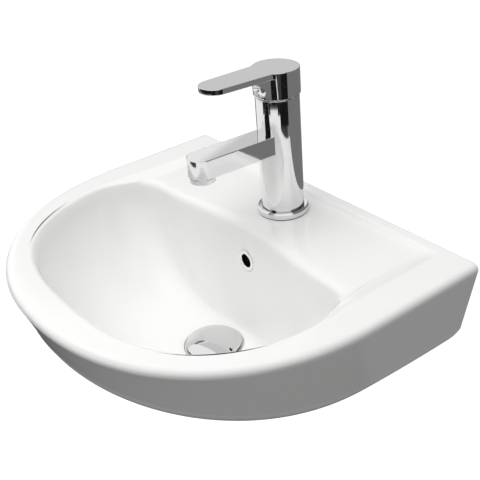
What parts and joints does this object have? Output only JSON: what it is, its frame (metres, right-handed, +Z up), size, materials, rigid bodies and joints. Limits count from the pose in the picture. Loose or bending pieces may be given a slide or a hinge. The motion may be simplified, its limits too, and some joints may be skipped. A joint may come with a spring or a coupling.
{
  "type": "wall-hung basin with mixer tap",
  "caption": "D-shaped wall-hung china basin with a sunk tap shelf, lever mixer, overflow ring and click waste, hung on wall studs.",
  "frame": {"origin": "on the wall plane, midway between the two hanging studs, 70 mm below the rim", "axes": "+X along the wall to the right as the user sees it, +Y into the wall, +Z up; the bowl's front is towards -Y"},
  "size_m": [0.45, 0.42, 0.368],
  "materials": {
    "china": "gloss",
    "chrome": "polished",
    "steel": "satin",
    "brass": "satin",
    "nylon": "satin",
    "plastic_white": "satin",
    "plastic_grey": "satin",
    "rubber": "matte",
    "disc_ceramic": "satin"
  },
  "bodies": {
    "basin_set": {"basin": "china", "wall_studs": "steel", "stud_sleeves": "nylon", "stud_washers": "steel", "stud_nuts": "steel", "overflow_ring": "chrome", "waste_body": "chrome", "waste_top_seal": "rubber", "waste_bottom_seal": "rubber", "waste_backnut": "brass", "click_housing": "plastic_white", "click_spring": "steel", "tap_body": "chrome", "tap_base_ring": "chrome", "tap_base_seal": "rubber", "tap_stud": "steel", "horseshoe_gasket": "rubber", "horseshoe_plate": "steel", "tap_nut": "brass", "cartridge_base": "plastic_grey", "cartridge_seals": "rubber", "fixed_disc": "disc_ceramic", "cartridge_shell": "plastic_white", "cartridge_nut": "brass", "trim_collar": "chrome", "aerator_housing": "chrome", "aerator_insert": "plastic_white", "aerator_seal": "rubber"},
    "mixer_turret": {"turret": "plastic_white", "lever_pin": "steel"},
    "mixer_lever": {"handle": "chrome", "lever_stem": "steel", "grub_screw": "steel", "index_plug": "plastic_grey"},
    "mixer_disc": {"moving_disc": "disc_ceramic", "disc_carrier": "plastic_grey"},
    "waste_plug": {"waste_cap": "chrome", "cap_seal": "rubber", "click_spindle": "steel"}
  },
  "joints": [
    {"name": "handle_turn", "type": "hinge", "parent": "basin_set", "child": "mixer_turret", "pos_m": [0, -0.055, 0.191], "axis": [0, 0, 1], "range_deg": [-45, 45]},
    {"name": "handle_lift", "type": "hinge", "parent": "mixer_turret", "child": "mixer_lever", "pos_m": [0, -0.055, 0.191], "axis": [-1, 0, 0], "range_deg": [0, 25]},
    {"name": "disc_slide", "type": "slide", "parent": "mixer_turret", "child": "mixer_disc", "axis": [0, -1, 0], "range_m": [0, 0.004]},
    {"name": "waste_click", "type": "slide", "parent": "basin_set", "child": "waste_plug", "axis": [0, 0, 1], "range_m": [0, 0.009], "deforming": ["click_spring"]}
  ],
  "couplings": [
    {"joint": "disc_slide", "follows": "handle_lift", "m_per_rad": 0.0087}
  ]
}
